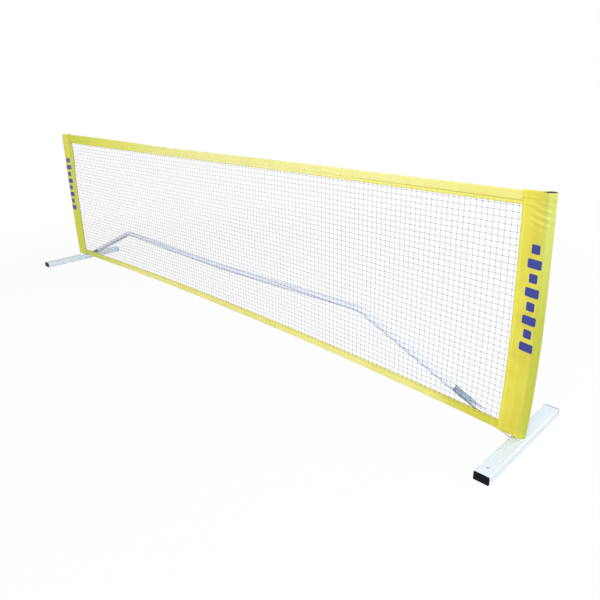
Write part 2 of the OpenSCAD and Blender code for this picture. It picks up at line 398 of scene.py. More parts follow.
@dataclass(frozen=True)
class RivetMetal:
    """Satin aluminium with a fine mottle."""

    name: str = "rivet_metal_dressed"
    colour: Colour = srgb(186, 189, 194)
    dull: Colour = srgb(128, 131, 138)
    mottle: float = 700.0
    mottle_depth: float = 0.03 * MM
    metal: float = 0.8
    roughness: float = 0.3
    roughness_span: float = 0.2

    def material(self) -> bpy.types.Material:
        """Builds the metal.

        Returns:
            The material.
        """
        t = NodeTree(self.name)
        cloud = t.noise(t.object_place(), self.mottle, detail=4.0)
        return t.finish(
            Base_Color=t.mix(t.ease(cloud, start=0.35, end=0.7), self.colour, self.dull),
            Metallic=self.metal,
            Roughness=t.varied(self.roughness, cloud, self.roughness_span),
            Normal=t.bump(cloud, self.mottle_depth),
        )


@dataclass(frozen=True)
class BraidedTwine:
    """Braided cord or thread with slanting plaits, faded in patches.

    A tone for its knots may be given. The cord itself then takes part of that tone towards the net's left, as
    painted shade where less light falls.
    """

    name: str
    colour: Colour
    faded: Colour
    knot_and_left_shade: Colour | None = None
    left_shade_places: tuple[float, float] = (0.7, -1.0)
    left_shade_share: float = 0.7
    plait: float = 1500.0
    plait_depth: float = 0.12 * MM
    roughness: float = 0.6
    roughness_span: float = 0.2
    sheen: float = 0.2

    def material(self) -> bpy.types.Material:
        """Builds the twine.

        Returns:
            The material.
        """
        t = NodeTree(self.name)
        place = t.object_place()
        plaits = t.add(
            "TexWave", {"bands_direction": "DIAGONAL"}, Vector=place, Scale=self.plait, Distortion=0.6
        ).outputs["Fac"]
        fade = t.noise(place, scale=45.0, detail=4.0)
        colour = t.mix(t.ease(fade, start=0.42, end=0.78), self.colour, self.faded)
        if self.knot_and_left_shade is not None:
            share = t.add("Attribute", {"attribute_name": KNOT_SHARE}).outputs["Fac"]
            # Painted shade: the cord darkens towards the net's left, where less light falls.
            left = t.times(t.ease(t.axes(place)[0], *self.left_shade_places), self.left_shade_share)
            colour = t.mix(t.math("MAXIMUM", share, left), colour, self.knot_and_left_shade)
        return t.finish(
            Base_Color=colour,
            Roughness=t.varied(self.roughness, plaits, self.roughness_span),
            Normal=t.bump(plaits, self.plait_depth),
            Sheen_Weight=self.sheen,
            Sheen_Roughness=0.5,
        )


@dataclass(frozen=True)
class Print:
    """A column of plain round-cornered bars printed on the cloth, long and short in turn."""

    centre: float
    colour: Colour = srgb(46, 54, 146)
    worn: Colour = srgb(60, 68, 154)
    width: float = 42 * MM
    start: float = 0.283
    count: int = 8
    pitch: float = 42 * MM
    height: float = 27 * MM
    corner: float = 4 * MM
    short_share: float = 0.62
    edge: float = 0.6 * MM

    def mask(self, t: NodeTree) -> bpy.types.NodeSocket:
        """Gives 1 on the bars and 0 off them.

        Args:
            t: The material's nodes.

        Returns:
            The mask.
        """
        u, v = t.axes(t.flat_place())[:2]
        step = t.math("DIVIDE", t.math("SUBTRACT", v, self.start), self.pitch)
        place = t.math("SUBTRACT", t.math("FRACT", step), 0.5)
        odd = t.math("MODULO", t.math("FLOOR", step), 2.0)
        half = t.math("MULTIPLY_ADD", odd, (self.short_share - 1) * self.width / 2, self.width / 2)
        across = t.math("SUBTRACT", t.math("ABSOLUTE", t.math("SUBTRACT", u, self.centre)), half)
        along = t.math("SUBTRACT", t.math("ABSOLUTE", t.times(place, self.pitch)), self.height / 2)
        out = [t.math("MAXIMUM", t.math("ADD", d, self.corner), 0.0) for d in (across, along)]
        both = t.math("SQRT", t.math("ADD", *(t.math("POWER", d, 2.0) for d in out)))
        inside = t.ease(both, self.corner + self.edge / 2, self.corner - self.edge / 2)
        column = t.span(v, self.start, self.start + self.count * self.pitch, self.edge)
        return t.times(inside, column)

    def ink(self, t: NodeTree) -> bpy.types.NodeSocket:
        """Gives the ink's colour, worn in patches."""
        wear = t.ease(t.noise(t.object_place(), scale=220.0, detail=4.0), start=0.5, end=0.75)
        return t.mix(wear, self.colour, self.worn)


class Axis(Enum):
    """The two directions of a flat cloth."""

    U = 0
    V = 1


@dataclass(frozen=True)
class Band:
    """A soft-edged stripe of another tone along a flat cloth, which may grow along it between two places."""

    axis: Axis
    low: float
    high: float
    colour: Colour
    share: float
    soft: float
    grows: tuple[float, float] | None = None

    @classmethod
    def about(cls, axis: Axis, centre: float, width: float, colour: Colour, **look: object) -> "Band":
        """Gives a stripe about a centre line, with its other values by their names."""
        return cls(axis, centre - width / 2, centre + width / 2, colour, **look)

    def mask(self, t: NodeTree, places: tuple) -> bpy.types.NodeSocket:
        """Gives how strongly the stripe shows.

        Args:
            t: The material's nodes.
            places: The flat cloth's u and v.

        Returns:
            The mask.
        """
        mask = t.span(places[self.axis.value], self.low, self.high, self.soft)
        if self.grows is not None:
            mask = t.times(mask, t.ease(places[1 - self.axis.value], *self.grows))
        return t.times(mask, self.share)


@dataclass(frozen=True)
class Cords:
    """Netting cords that show through the cloth they are sewn into, up to a reach from its open edges."""

    flat_h: float
    reach: float
    share: float = 0.45
    width: float = 2.6 * MM
    spacing: float = 19 * MM
    colour: Colour = srgb(132, 128, 80)

    def mask(self, t: NodeTree) -> bpy.types.NodeSocket:
        """Gives how strongly the cords show.

        Args:
            t: The material's nodes.

        Returns:
            The mask.
        """
        place = t.add("Attribute", {"attribute_name": CORD_PLACE}).outputs["Fac"]
        off = t.math("ABSOLUTE", t.math("SUBTRACT", t.math("FRACT", place), 0.5))
        wide = self.width / self.spacing
        near = t.ease(off, start=0.8 * wide, end=0.3 * wide)
        v = t.axes(t.flat_place())[1]
        from_edge = t.math("MINIMUM", v, t.math("SUBTRACT", self.flat_h, v))
        seen = t.ease(from_edge, start=self.reach, end=0.5 * self.reach)
        return t.times(t.times(near, seen), self.share)


@dataclass(frozen=True)
class Cloth:
    """Woven nylon with a clouded tone, bands at its folds, seams and along stretches of it, many of them
    painted sheen and shade, and an optional print.
    """

    name: str
    colour: Colour
    deep: Colour
    bands: tuple[Band, ...]
    weave: float = 0.9 * MM
    weave_depth: float = 0.07 * MM
    weave_share: float = 0.12
    crease_depth: float = 0.5 * MM
    roughness: float = 0.45
    roughness_span: float = 0.1
    sheen: float = 0.08
    coat: float = 0.0
    specular: float = 0.3
    cords: Cords | None = None
    printed: Print | None = None

    def material(self) -> bpy.types.Material:
        """Builds the cloth.

        Returns:
            The material.
        """
        t = NodeTree(self.name)
        places = t.axes(t.flat_place())[:2]
        warp, weft = (t.math("ABSOLUTE", t.math("SINE", t.times(c, math.pi / self.weave))) for c in places)
        threads = t.times(t.math("ADD", warp, weft), 0.5)
        cloud = t.noise(t.object_place(), scale=9.0, detail=6.0)
        colour = t.mix(t.ease(cloud, start=0.36, end=0.7), self.colour, self.deep)
        for band in self.bands:
            colour = t.mix(band.mask(t, places), colour, band.colour)
        colour = t.mix(t.times(threads, self.weave_share), colour, self.deep)
        if self.cords is not None:
            colour = t.mix(self.cords.mask(t), colour, self.cords.colour)
        if self.printed is not None:
            colour = t.mix(self.printed.mask(t), colour, self.printed.ink(t))
        creases = t.noise(t.object_place((1, 1, 0.4)), scale=70.0, detail=4.0)
        return t.finish(
            Base_Color=colour,
            Roughness=t.varied(self.roughness, cloud, self.roughness_span),
            Normal=t.bump(threads, self.weave_depth, t.bump(creases, self.crease_depth)),
            Sheen_Weight=self.sheen,
            Sheen_Roughness=0.4,
            Specular_IOR_Level=self.specular,
            Coat_Weight=self.coat,
            Coat_Roughness=0.25,
        )


# ---------------------------------------------------------------- shaping


def new_piece(name: str, mesh: bmesh.types.BMesh, smooth: bool = True) -> bpy.types.Object:
    """Makes an object of a finished bmesh.

    Args:
        name: The piece's name.
        mesh: The bmesh, which is freed.
        smooth: Whether its faces are shaded smooth.

    Returns:
        The object, linked to the scene.
    """
    data = bpy.data.meshes.new(name)
    mesh.to_mesh(data)
    mesh.free()
    data.polygons.foreach_set("use_smooth", [smooth] * len(data.polygons))
    piece = bpy.data.objects.new(name, data)
    bpy.context.scene.collection.objects.link(piece)
    return piece


def mount(
    piece: bpy.types.Object, body: str, slot: Slot, material: bpy.types.Material, nodes: Iterable[str] = ()
) -> bpy.types.Object:
    """Gives a piece its body and material, and hides the nodes that it stands for.

    Args:
        piece: The piece.
        body: The body that it rides on.
        slot: The record's slot; not used.
        material: Its material.
        nodes: CAD nodes that it replaces.

    Returns:
        The piece.
    """
    piece.data.materials.clear()
    piece.data.materials.append(material)
    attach(piece, body)
    if nodes:
        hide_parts(*nodes)
    log.info("%s: %d faces, on %s", piece.name, len(piece.data.polygons), body)
    return piece


def laid_points(points: np.ndarray, surface: Surface) -> np.ndarray:
    """Lays points of the flat cloth on its surface in space.

    Args:
        points: Rows of (u, v, height over the cloth), in metres.
        surface: Gives the place in space of flat places u, v.

    Returns:
        Rows of x, y, z.
    """
    u, v, height = points.T
    step = 0.1 * MM
    along = surface(u + step, v) - surface(u - step, v)
    across = surface(u, v + step) - surface(u, v - step)
    normal = np.cross(along, across)
    normal /= np.maximum(np.linalg.norm(normal, axis=1, keepdims=True), 1e-12)
    return surface(u, v) + normal * height[:, None]


def vertex_rows(piece: bpy.types.Object) -> np.ndarray:
    """Reads where a piece's vertices are.

    Args:
        piece: The piece.

    Returns:
        Rows of x, y, z.
    """
    places = np.empty(len(piece.data.vertices) * 3)
    piece.data.vertices.foreach_get("co", places)
    return places.reshape(-1, 3)


def move(piece: bpy.types.Object, change: Callable[[np.ndarray], np.ndarray]) -> None:
    """Moves a piece's vertices to the rows of x, y, z that a change gives for theirs."""
    piece.data.vertices.foreach_set("co", change(vertex_rows(piece)).ravel())
    piece.data.update()


def lay(piece: bpy.types.Object, surface: Surface) -> None:
    """Lays a piece, its mesh in flat coordinates, on its surface in space."""
    move(piece, lambda points: laid_points(points, surface))


def cut_cloth(
    name: str, width: float, length: float, step: tuple[float, float], turned: bool
) -> bpy.types.Object:
    """Makes a flat rectangle of cloth, mapped in metres.

    Args:
        name: The piece's name.
        width: Size along u.
        length: Size along v.
        step: Size of its faces along u and v.
        turned: Whether its faces look the other way.

    Returns:
        The piece, with one corner at the origin.
    """
    mesh = bmesh.new()
    bmesh.ops.create_grid(
        mesh,
        x_segments=round(width / step[0]),
        y_segments=round(length / step[1]),
        size=0.5,
        matrix=Matrix.Diagonal((width, length, 1, 1)) @ Matrix.Translation((0.5, 0.5, 0)),
    )
    layer = mesh.loops.layers.uv.new(FLAT_MAP)
    for face in mesh.faces:
        for loop in face.loops:
            loop[layer].uv = loop.vert.co.xy
    if turned:
        bmesh.ops.reverse_faces(mesh, faces=mesh.faces)
    return new_piece(name, mesh)


def thicken(piece: bpy.types.Object, thickness: float) -> None:
    """Gives a sheet its thickness, half to each side of its middle surface.

    Args:
        piece: The sheet.
        thickness: Its thickness.
    """
    solid = piece.modifiers.new("thickness", "SOLIDIFY")
    solid.thickness = thickness
    solid.offset = 0.0
    solid.use_even_offset = False


def copied(mesh: bmesh.types.BMesh, source: list, shift: Vector) -> list:
    """Copies a part of a bmesh and moves the copy.

    Args:
        mesh: The bmesh.
        source: The vertices, edges and faces to copy.
        shift: From them to the copy.

    Returns:
        The copy's vertices, edges and faces.
    """
    new = bmesh.ops.duplicate(mesh, geom=source)["geom"]
    verts = [g for g in new if isinstance(g, bmesh.types.BMVert)]
    bmesh.ops.translate(mesh, verts=verts, vec=shift)
    return new


def repeat(mesh: bmesh.types.BMesh, step: Vector, count: int) -> None:
    """Repeats all of a bmesh along a line, doubling the row at each pass.

    Args:
        mesh: The bmesh.
        step: From one copy to the next.
        count: Number of copies, the first included.
    """
    row, made, blocks = [*mesh.verts, *mesh.edges, *mesh.faces], 1, {}
    while made * 2 <= count:
        blocks[made] = copied(mesh, row, step * made)
        row += blocks[made]
        made *= 2
    for size in sorted(blocks, reverse=True):
        if count - made >= size:
            copied(mesh, blocks[size], step * (made - size))
            made += size


def joined(parts: Iterable[bmesh.types.BMesh]) -> bmesh.types.BMesh:
    """Puts several bmeshes into one and frees them.

    Args:
        parts: The bmeshes.

    Returns:
        The bmesh of them all.
    """
    whole = bmesh.new()
    for part in parts:
        data = bpy.data.meshes.new("part")
        part.to_mesh(data)
        part.free()
        whole.from_mesh(data)
        bpy.data.meshes.remove(data)
    return whole


def ramp(value: np.ndarray, start: float, over: float) -> np.ndarray:
    """Gives a smooth step from 0 at a start to 1 a distance further on, level beyond them."""
    share = np.clip((value - start) / over, 0, 1)
    return share * share * (3 - 2 * share)


def bell(value: np.ndarray, centre: float, reach: float) -> np.ndarray:
    """Gives 1 at a centre, falling away smoothly to about a third at a reach from it."""
    return np.exp(-(((value - centre) / reach) ** 2))


@dataclass
class Ripples:
    """Smooth unevenness of hanging cloth or netting: a sum of seeded slanting waves."""

    seed: int
    longest: float
    shortest: float
    count: int = 7

    def __post_init__(self) -> None:
        """Draws the waves."""
        draw = np.random.default_rng(self.seed)
        length = np.geomspace(self.longest, self.shortest, self.count)
        slant = draw.uniform(-math.pi, math.pi, self.count)
        self.ways = 2 * math.pi / length[:, None] * np.stack([np.cos(slant), np.sin(slant)], axis=1)
        self.phase = draw.uniform(0, 2 * math.pi, self.count)
        self.share = length / length.sum()

    def at(self, u: np.ndarray, v: np.ndarray) -> np.ndarray:
        """Gives the unevenness, between about -1 and 1, at places u, v."""
        turn = self.ways[:, :1] * u + self.ways[:, 1:] * v + self.phase[:, None]
        return (np.sin(turn) * self.share[:, None]).sum(axis=0)


# ---------------------------------------------------------------- the net


@dataclass
class NetPlan:
    """Sizes that the net's pieces share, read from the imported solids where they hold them.

    The net hangs a little out of true. Its top tape is drawn up except towards the right end, is fuller to
    the left, and stands back near the left pole. The bottom tape slopes, and the sleeves bow sideways between
    their ends. A run is where a change starts and the distance over which it comes in.
    """

    bottom_tape_h: float = 32 * MM
    packed_bottom_tape_h: float = 28 * MM
    bottom_drop: float = 2.5 * MM
    cloth: float = 0.5 * MM
    fold: float = 1.7 * MM
    tuck: float = 8 * MM
    tilt: float = 4 * MM
    end_tilt: float = 4.5 * MM
    end_power: int = 7
    ride: float = 4 * MM
    ride_to: float = 0.4
    fullness: float = 0.25
    full_run: tuple[float, float] = (0.2, 0.9)
    drawn_back: float = 8 * MM
    back_run_x: tuple[float, float] = (1.0, 0.4)
    back_run_z: tuple[float, float] = (0.42, 0.3)
    bow_left: float = -3 * MM
    bow_right: float = 8.5 * MM
    bow_power: float = 0.8
    bow_from: float = 0.62

    def __post_init__(self) -> None:
        """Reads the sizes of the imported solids."""
        low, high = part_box("top_tape")
        self.half = high.x
        self.plane_y = (low.y + high.y) / 2
        self.top_tape_z, self.top_tape_h = low.z, high.z - low.z
        low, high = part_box("bottom_tape")
        self.tape_end_z = low.z
        self.rise = high.z - self.packed_bottom_tape_h - low.z
        low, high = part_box("sleeve_right")
        self.sleeve_z, self.sleeve_length = low.z, high.z - low.z
        self.layer = self.fold / 2 + self.cloth / 2

    def flat_height(self, height: float) -> float:
        """Gives the flat width of a tape that stands at a height once it is folded."""
        return 2 * height + self.fold

    def tape_low(self, x: np.ndarray) -> np.ndarray:
        """Gives the height of the bottom tape's lower edge.

        Args:
            x: Places along the net.

        Returns:
            Their heights.
        """
        share = x / self.half
        low = self.tape_end_z - self.bottom_drop + self.rise * (1 - share**2)
        return low - self.tilt * share - self.end_tilt * share**self.end_power

    def tape_high(self, x: np.ndarray) -> np.ndarray:
        """Gives the height of the bottom tape's upper edge at x."""
        return self.tape_low(x) + self.bottom_tape_h

    def top_lift(self, x: np.ndarray) -> np.ndarray:
        """Gives how far the top tape's lower edge is drawn up at x."""
        return self.ride * (1 - np.clip((x / self.half - self.ride_to) / (1 - self.ride_to), 0, 1))

    def top_fullness(self, x: np.ndarray) -> np.ndarray:
        """Gives how many times its packed height the top tape stands at x."""
        return 1 + self.fullness * ramp(-x, *self.full_run)

    def plane(self, x: np.ndarray, z: np.ndarray) -> np.ndarray:
        """Gives the y of the net's middle surface at x, z."""
        return self.plane_y + self.drawn_back * ramp(-x, *self.back_run_x) * ramp(z, *self.back_run_z)

    def bow_share(self, z: np.ndarray) -> np.ndarray:
        """Gives the share of a sleeve's bow at a height: none at its ends, all just below its middle."""
        return np.sin(math.pi * np.clip((z - self.sleeve_z) / self.sleeve_length, 0, 1) ** self.bow_power)

    def sideways(self, x: np.ndarray, z: np.ndarray) -> np.ndarray:
        """Gives how far the netting is drawn along X to meet the sleeves' bowed inner edges.

        Args:
            x: Places along the net.
            z: Their heights.

        Returns:
            Distances along X.
        """
        inner = self.bow_from * self.half
        right, left = (np.clip((way * x - inner) / (self.half - inner), 0, 1) ** 2 for way in (1, -1))
        return (self.bow_right * right - self.bow_left * left) * self.bow_share(z)


@dataclass
class Netting:
    """Knotted square netting, in panels side by side.

    Its strands run past the outer knots by side_overruns and overruns, in cells. Within held_cells of its
    edges it is held and sways less. Its knots' shake comes in shake_rate times as fast, from held_shake at
    an edge.
    """

    plan: NetPlan
    columns: int = 148
    rows: int = 36
    panels: int = 4
    row_d: float = 0.76 * MM
    upright_d: float = 0.64 * MM
    strand_sides: int = 6
    knot: tuple[float, float, float] = (2.3 * MM, 0.8 * MM, 0.75 * MM)
    knot_turn: float = 16
    side_gaps: tuple[float, float] = (-1 * MM, 12 * MM)
    side_overruns: tuple[float, float] = (0.5, 1.0)
    overruns: tuple[float, float] = (0.5, 0.5)
    top_gap: float = 5 * MM
    bottom_gap: float = 0.5 * MM
    gathered: float = 12 * MM
    gathered_from: float = 0.12
    gathered_power: float = 1.7
    shake: float = 0.28 * MM
    held_shake: float = 0.15
    shake_rate: float = 3
    droop: float = 0.35 * MM
    wave: float = 2.0 * MM
    belly: float = 1.5
    held_cells: float = 5
    seed: int = 17
    sway_seeds: tuple[int, int, int] = (3, 4, 5)
    # Its last tone is the knots' own, and also the painted shade of the cords towards the net's left.
    twine: BraidedTwine = BraidedTwine(
        "net_twine_dressed", srgb(104, 108, 146), srgb(130, 134, 168), srgb(56, 58, 88)
    )

    def __post_init__(self) -> None:
        """Works out the pitch and draws the knots' unevenness."""
        self.pitch = (2 * self.plan.half - sum(self.side_gaps)) / self.columns
        draw = np.random.default_rng(self.seed)
        self.offsets = draw.normal(0, self.shake, (self.columns + 1, self.rows + 1, 3))
        self.bows = draw.normal(0, self.droop, (self.columns + 1, self.rows + 1))
        self.sway = [Ripples(seed, longest=1.2, shortest=0.3) for seed in self.sway_seeds]

    def strands(self, cells: int, extra: tuple[float, float], count: int, upright: bool) -> bmesh.types.BMesh:
        """Builds parallel straight strands, cut at each knot and between knots.

        Args:
            cells: Number of mesh gaps that each one passes.
            extra: How many cells each runs past its first and last knot.
            count: Number of strands.
            upright: Whether they run along Z, side by side along X, or the other way round.

        Returns:
            The bmesh, its first knot at the origin.
        """
        mesh = bmesh.new()
        mesh.verts.layers.float.new(KNOT_SHARE)
        length = (cells + sum(extra)) * self.pitch
        radius = (self.upright_d if upright else self.row_d) / 2
        bmesh.ops.create_cone(
            mesh,
            cap_ends=True,
            segments=self.strand_sides,
            radius1=radius,
            radius2=radius,
            depth=length,
            matrix=Matrix.Translation((0, 0, length / 2 - extra[0] * self.pitch)),
        )
        long = [e for e in mesh.edges if e.calc_length() > length / 2]
        bmesh.ops.subdivide_edges(mesh, edges=long, cuts=round(length / self.pitch * 2) - 1)
        if not upright:
            bmesh.ops.rotate(mesh, verts=mesh.verts, matrix=Matrix.Rotation(math.pi / 2, 3, "Y"))
        repeat(mesh, Vector((self.pitch, 0, 0) if upright else (0, 0, self.pitch)), count)
        return mesh

    def knots(self, columns: int) -> bmesh.types.BMesh:
        """Builds a panel's knots, each of two crossed lobes.

        Args:
            columns: Number of knots along X.

        Returns:
            The bmesh, its first knot at the origin.
        """
        mesh = bmesh.new()
        share = mesh.verts.layers.float.new(KNOT_SHARE)
        for turn in (-self.knot_turn, self.knot_turn):
            shape = Matrix.Rotation(math.radians(turn), 4, "Y") @ Matrix.Diagonal((*self.knot, 1))
            bmesh.ops.create_icosphere(mesh, subdivisions=1, radius=1.0, matrix=shape)
        for vert in mesh.verts:
            vert[share] = 1.0
        repeat(mesh, Vector((self.pitch, 0, 0)), columns)
        repeat(mesh, Vector((0, 0, self.pitch)), self.rows + 1)
        return mesh

    def panel(self, first: int, last: int) -> bmesh.types.BMesh:
        """Builds a flat panel between two columns of knots, whose rows meet the next panel's at its last one.

        Args:
            first: Its first column.
            last: Its last column.

        Returns:
            The bmesh, the netting's first knot at the origin.
        """
        outer = (first == 0, last == self.columns)
        ends = tuple(extra * at_end for extra, at_end in zip(self.side_overruns, outer))
        count = last - first + outer[1]
        mesh = joined(
            (
                self.strands(last - first, ends, self.rows + 1, upright=False),
                self.strands(self.rows, self.overruns, count, upright=True),
                self.knots(count),
            )
        )
        bmesh.ops.translate(mesh, verts=mesh.verts, vec=(first * self.pitch, 0, 0))
        return mesh

    def across(self, column: np.ndarray) -> np.ndarray:
        """Gives where columns of knots stand, a little closer together near the right end.

        Args:
            column: Numbers of columns, which may lie between two.

        Returns:
            Their places along X.
        """
        x = column * self.pitch - self.plan.half + self.side_gaps[0]
        share = np.clip((x / self.plan.half - self.gathered_from) / (1 - self.gathered_from), 0, 1)
        return x + self.gathered * np.sin(math.pi * share**self.gathered_power)

    def shaken(self, i: np.ndarray, j: np.ndarray, col: np.ndarray, row: np.ndarray) -> np.ndarray:
        """Gives the knots' unevenness, shared out along the strands between them.

        Args:
            i: Places along X, in cells.
            j: Places along Z, in cells.
            col: The cells' columns.
            row: The cells' rows.

        Returns:
            Rows of shifts along X, Y and Z.
        """
        a, b = np.clip(i - col, 0, 1)[:, None], np.clip(j - row, 0, 1)[:, None]
        return (
            self.offsets[col, row] * (1 - a) * (1 - b)
            + self.offsets[col + 1, row] * a * (1 - b)
            + self.offsets[col, row + 1] * (1 - a) * b
            + self.offsets[col + 1, row + 1] * a * b
        )

    def hang(self, points: np.ndarray) -> np.ndarray:
        """Moves points of the flat netting to where it hangs between the tapes.

        Args:
            points: Rows of x, y, z of the flat netting, its first knot at the origin.

        Returns:
            Rows of x, y, z in place.
        """
        i, j = points[:, 0] / self.pitch, points[:, 2] / self.pitch
        # A strand's vertices at a knot may lie a hair before it, and belong to the cell that it starts.
        hair = 0.02
        col = np.clip(np.floor(i + hair), 0, self.columns - 1).astype(int)
        row = np.clip(np.floor(j + hair), 0, self.rows - 1).astype(int)
        x = self.across(i)
        low = self.plan.tape_high(x) + self.bottom_gap
        high = self.plan.top_tape_z - self.top_gap + self.plan.top_lift(x)
        z = low + (high - low) * j / self.rows
        place = np.stack([x + self.plan.sideways(x, z), points[:, 1] + self.plan.plane(x, z), z], axis=1)
        from_edge = np.minimum.reduce([i, self.columns - i, j, self.rows - j])
        free = np.clip(from_edge / self.held_cells, 0, 1)
        sway = np.stack([s.at(x, place[:, 2]) for s in self.sway], axis=1) * self.wave
        sway[:, 1] = -np.abs(sway[:, 1]) * self.belly
        shaken = self.shaken(i, j, col, row)
        place += shaken * np.clip(free[:, None] * self.shake_rate, self.held_shake, 1) + sway * free[:, None]
        between_x, between_z = np.sin(math.pi * (i - col)) ** 2, np.sin(math.pi * (j - row)) ** 2
        place[:, 0] += self.bows[col, row] * between_z * (1 - between_x)
        place[:, 2] -= self.droop * between_x * (1 - between_z)
        return place

    def build(self) -> None:
        """Builds and mounts the panels."""
        material = self.twine.material()
        marks = [round(self.columns * k / self.panels) for k in range(self.panels + 1)]
        for k in range(self.panels):
            piece = new_piece(f"netting_panel_{k + 1}", self.panel(marks[k], marks[k + 1]))
            move(piece, self.hang)
            mount(piece, "net", Slot.TWINE, material, ["net_mesh"])


@dataclass(frozen=True)
class Stitching:
    """Rows of thread stitches, built flat and laid with the cloth that they hold.

    Each covers a share of the pitch and stands proud of the cloth. Rows start at inset from its edges.
    """

    thread: BraidedTwine
    pitch: float = 4 * MM
    share: float = 0.72
    width: float = 0.55 * MM
    proud: float = 0.2 * MM
    inset: float = 2 * MM

    def row(self, start: tuple[float, float], end: tuple[float, float], height: float) -> bmesh.types.BMesh:
        """Builds a straight row of stitches on the flat cloth.

        Args:
            start: First stitch's place, u and v.
            end: Last stitch's place.
            height: Height of the cloth's face over its middle surface.

        Returns:
            The bmesh, in flat coordinates.
        """
        mesh = bmesh.new()
        line = Vector(end) - Vector(start)
        count = max(2, round(line.length / self.pitch))
        shape = (
            Matrix.Translation((*start, height))
            @ Matrix.Rotation(math.atan2(line.y, line.x), 4, "Z")
            @ Matrix.Diagonal((self.pitch * self.share / 2, self.width / 2, self.proud, 1))
        )
        bmesh.ops.create_icosphere(mesh, subdivisions=1, radius=1.0, matrix=shape)
        repeat(mesh, Vector((line.x, line.y, 0)) / count, count + 1)
        return mesh

    def sew(self, name: str, rows: list[bmesh.types.BMesh], surface: Surface, slot: Slot) -> bpy.types.Object:
        """Lays rows of stitches on a cloth's surface in space.

        Args:
            name: The stitches' name.
            rows: The rows, in flat coordinates.
            surface: Gives the place in space of flat places u, v.
            slot: The record's slot.

        Returns:
            The stitches.
        """
        threads = new_piece(name, joined(rows))
        lay(threads, surface)
        return mount(threads, "net", slot, self.thread.material())


class Edge(Enum):
    """Which edge of the net a tape is folded over."""

    TOP = 1
    BOTTOM = -1


@dataclass
class FoldedTape:
    """A band of coated cloth folded lengthwise over the netting's edge and sewn through.

    Each layer stands off the net's plane by slack times half the fold's thickness, less drawn_in at its seam
    and its open edge. Over end_run from its ends, inside the sleeve, it comes to lie flat.
    """

    plan: NetPlan
    netting: Netting
    edge: Edge
    height: float
    seam: float
    finish: Cloth
    stitching: Stitching
    ripple: float = 0.35 * MM
    wander: float = 0.0
    slack: float = 1.25
    drawn_in: float = 0.45
    drawn_reach: float = 2.6 * MM
    fold_run: float = 3 * MM
    end_run: float = 30 * MM
    step: tuple[float, float] = (6 * MM, 1.5 * MM)

    def __post_init__(self) -> None:
        """Names the tape and draws its unevenness."""
        self.word = self.edge.name.lower() + "_tape"
        self.flat_h = self.plan.flat_height(self.height)
        self.sway = Ripples(21 + self.edge.value, longest=0.7, shortest=0.07)
        self.lift = Ripples(31 + self.edge.value, longest=1.4, shortest=0.16)

    def swell(self, height: np.ndarray) -> np.ndarray:
        """Gives how far a layer stands from the net's plane at a height over the open edge."""
        drawn = np.maximum(*(bell(height, seam, self.drawn_reach) for seam in (self.seam, 0.0)))
        return self.plan.layer * (self.slack - self.drawn_in * drawn)

    def surface(self, u: np.ndarray, v: np.ndarray) -> np.ndarray:
        """Gives the place in space of places u, v of the flat band.

        Args:
            u: Distance from the band's left end.
            v: Distance across the band, from the front layer's open edge over the fold.

        Returns:
            Rows of x, y, z.
        """
        x = u - self.plan.half - self.plan.tuck
        way = np.where(v < self.flat_h / 2, -1.0, 1.0)
        from_fold = np.abs(v - self.flat_h / 2)
        bend = self.plan.layer
        quarter = bend * math.pi / 2
        turn = np.clip(from_fold / bend, 0, math.pi / 2)
        height = self.height - bend * (1 - np.cos(turn)) - np.maximum(from_fold - quarter, 0)
        blend = np.clip((from_fold - quarter) / self.fold_run, 0, 1)
        below = bend * (1 - blend) + self.swell(height) * blend
        layer = np.where(from_fold < quarter, bend * np.sin(turn), below)
        free = ramp(self.plan.half + self.plan.tuck - np.abs(x), 0, self.end_run)
        layer = np.minimum(layer, bend) * (1 - free) + layer * free
        if self.edge is Edge.TOP:
            z = self.plan.top_tape_z + height * self.plan.top_fullness(x) + self.plan.top_lift(x)
        else:
            z = self.plan.tape_high(x) - height + self.wander * self.lift.at(u, 0 * u)
        y = self.plan.plane(x, z) + way * layer + self.ripple * self.sway.at(u, height) * free
        return np.stack([x, y, z], axis=1)

    def mark_cords(self, tape: bpy.types.Object) -> None:
        """Marks on a laid band where the netting's cords run inside it.

        Args:
            tape: The band, already in place.
        """
        # Quarters of a cell, from two cells before the first column to two past the last.
        columns = np.arange(-2, self.netting.columns + 3, 0.25)
        place = np.interp(vertex_rows(tape)[:, 0], self.netting.across(columns), columns) + 0.5
        mark = tape.data.attributes.new(CORD_PLACE, "FLOAT", "POINT")
        mark.data.foreach_set("value", place)

    def build(self) -> None:
        """Builds the band and its stitches."""
        length = 2 * (self.plan.half + self.plan.tuck)
        turned = self.edge is Edge.BOTTOM
        tape = cut_cloth(self.word + "_cloth", length, self.flat_h, self.step, turned)
        lay(tape, self.surface)
        self.mark_cords(tape)
        thicken(tape, self.plan.cloth)
        mount(tape, "net", Slot.TAPE, self.finish.material(), [self.word])
        face = self.plan.cloth / 2 * (-1 if turned else 1)
        start, end = self.stitching.inset, length - self.stitching.inset
        rows = [self.stitching.row((start, v), (end, v), face) for v in (self.seam, self.flat_h - self.seam)]
        threads = self.stitching.sew(self.word + "_stitches", rows, self.surface, Slot.TAPE)


@dataclass(frozen=True)
class Hang:
    """How one sleeve hangs about its pole.

    The pocket bows off the pole by outer at its widest, lift moves the sleeve up, wider sets its inner edge
    further in, flare does so below the top tape alone, raised stretches its top, droop lets the top's outer
    corner hang lower, rounding turns the lower outer corner up, and pucker is how far its folds stand out.
    The other values say where, over what reach and how sharply flare, raised, droop and rounding come in.
    """

    outer: float
    lift: float = 0.0
    wider: float = 0.0
    flare: float = 0.0
    flare_down: float = 130 * MM
    flare_reach: float = 70 * MM
    raised: float = 0.0
    raised_power: int = 8
    raised_on_pole: float = 0.35
    droop: float = 0.0
    droop_reach: float = 16 * MM
    rounding: float = 0.0
    rounding_reach: float = 14 * MM
    pucker: float = 1.8 * MM


